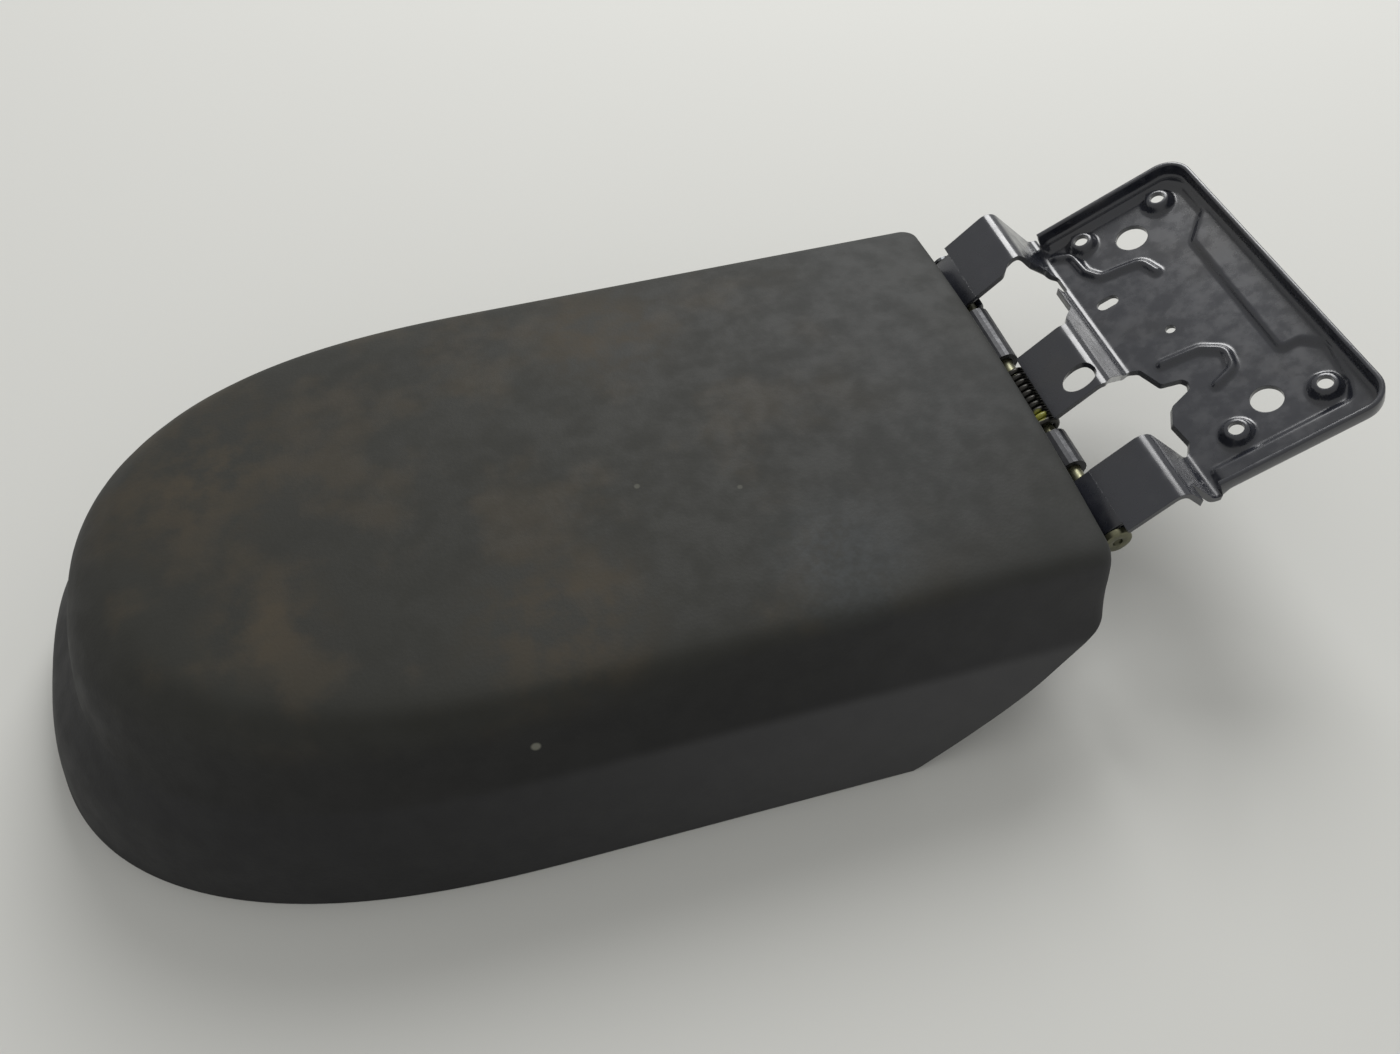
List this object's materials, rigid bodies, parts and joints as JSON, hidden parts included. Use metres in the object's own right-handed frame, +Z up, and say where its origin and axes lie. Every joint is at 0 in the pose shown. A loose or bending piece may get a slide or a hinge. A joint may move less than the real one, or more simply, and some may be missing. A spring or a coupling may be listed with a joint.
{
  "type": "car armrest",
  "caption": "Car console armrest lid with a soft-touch skin and a rounded front, sprung on a cross pin in a stamped black steel hinge bracket with a flanged plate.",
  "frame": {"origin": "centre of the bounding box, on the plane that the lid's rim rests on", "axes": "+X from the lid's rounded front to the hinge bracket, +Y across it to the left of a driver facing +X, +Z up"},
  "size_m": [0.4089, 0.1912, 0.085],
  "materials": {
    "soft_touch_skin": "moulded soft-touch skin with a fine grain",
    "cushion_foam": "open-cell foam",
    "carrier_plastic": "moulded, satin",
    "liner_plastic": "moulded, fine texture",
    "frame_steel": "pressed, dark coated",
    "zinc_plate": "zinc plated with a greenish tint",
    "clip_steel": "stamped",
    "spring_steel": "oiled spring wire",
    "black_coated_steel": "glossy black dip coat",
    "screw_steel": "zinc plated",
    "bumper_rubber": "moulded, matt",
    "latch_plastic": "moulded, satin",
    "latch_steel": "drawn wire"
  },
  "bodies": {
    "lid": {"cover_skin": "soft_touch_skin", "foam_pad": "cushion_foam", "lid_carrier": "carrier_plastic", "underside_liner": "liner_plastic", "hinge_frame": "frame_steel", "hinge_pin": "zinc_plate", "pin_clip": "clip_steel", "torsion_spring": "spring_steel", "latch_pin": "latch_steel", "latch_spring": "latch_steel", "frame_screw_1": "screw_steel", "frame_screw_2": "screw_steel", "frame_screw_3": "screw_steel", "frame_screw_4": "screw_steel", "liner_screw_1": "screw_steel", "liner_screw_2": "screw_steel", "liner_screw_3": "screw_steel", "liner_screw_4": "screw_steel", "liner_screw_5": "screw_steel", "liner_screw_6": "screw_steel", "rubber_bumper_1": "bumper_rubber", "rubber_bumper_2": "bumper_rubber", "rubber_bumper_3": "bumper_rubber", "rubber_bumper_4": "bumper_rubber"},
    "bracket": {"hinge_bracket": "black_coated_steel"},
    "latch": {"latch_lever": "latch_plastic"}
  },
  "joints": [
    {"name": "lid_hinge", "type": "hinge", "parent": "lid", "child": "bracket", "pos_m": [0.11889, 0, 0.0526], "axis": [0, 1, 0], "range_deg": [0, 110], "stiffness_Nm_per_rad": 0.5, "springref_deg": -171.89, "deforming": ["torsion_spring"]},
    {"name": "latch_pivot", "type": "hinge", "parent": "lid", "child": "latch", "pos_m": [-0.16841, 0, 0.0074], "axis": [0, 1, 0], "range_deg": [0, 10], "stiffness_Nm_per_rad": 0.15, "springref_deg": -34.38, "deforming": ["latch_spring"]}
  ]
}
